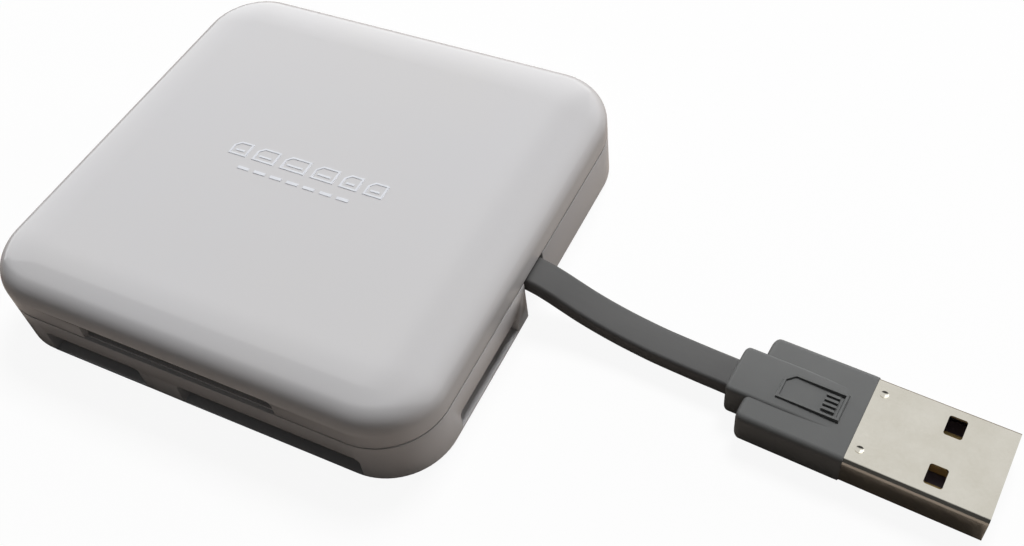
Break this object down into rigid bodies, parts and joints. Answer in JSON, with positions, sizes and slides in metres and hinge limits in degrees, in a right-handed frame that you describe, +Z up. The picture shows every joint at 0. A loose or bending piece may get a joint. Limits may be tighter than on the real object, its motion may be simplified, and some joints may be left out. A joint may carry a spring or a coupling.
{
  "type": "memory card reader",
  "caption": "Flat square memory card reader in glossy white plastic, with card slots in two sides and a short flat cable that ends in a rectangular plug.",
  "frame": {"origin": "centre of the housing's underside", "axes": "+Z up out of the top cover, +X towards the side that the cable leaves, -Y towards the side with three card slots"},
  "size_m": [0.1203, 0.06, 0.013],
  "materials": {
    "housing": "glossy white moulded plastic",
    "board": "green solder mask over glass-fibre board",
    "socket": "black moulded plastic",
    "sheet_steel": "tinned sheet steel",
    "contact": "gold-plated copper alloy",
    "chip": "black moulding compound",
    "lead": "tinned leads",
    "can": "drawn metal can",
    "capacitor_case": "yellow moulded case",
    "capacitor_ceramic": "ceramic with tinned ends",
    "grip": "soft grey moulded plastic",
    "cable": "soft dark grey sheath",
    "wire_red": "red insulation",
    "wire_white": "white insulation",
    "wire_green": "green insulation",
    "wire_black": "black insulation",
    "plug_steel": "nickel-plated sheet steel",
    "tongue": "black moulded plastic"
  },
  "bodies": {
    "root": {"top_cover": "housing", "bottom_cover": "housing", "circuit_board": "board", "upper_socket_body": "socket", "upper_socket_shield": "sheet_steel", "upper_socket_contacts": "contact", "lower_socket_body": "socket", "lower_socket_contacts": "contact", "left_socket_body": "socket", "left_socket_shield": "sheet_steel", "left_socket_contacts": "contact", "side_socket_body": "socket", "side_socket_shield": "sheet_steel", "side_socket_contacts": "contact", "controller_chip": "chip", "controller_leads": "lead", "clock_crystal": "can", "voltage_regulator": "chip", "regulator_leads": "lead", "bulk_capacitor": "capacitor_case", "capacitors": "capacitor_ceramic", "resistors": "chip", "cable_grip": "grip", "wire_red": "wire_red", "wire_white": "wire_white", "wire_green": "wire_green", "wire_black": "wire_black", "usb_cable": "cable", "plug_grip": "grip", "plug_shell": "plug_steel", "plug_tongue": "tongue", "plug_contacts": "contact"}
  },
  "joints": []
}
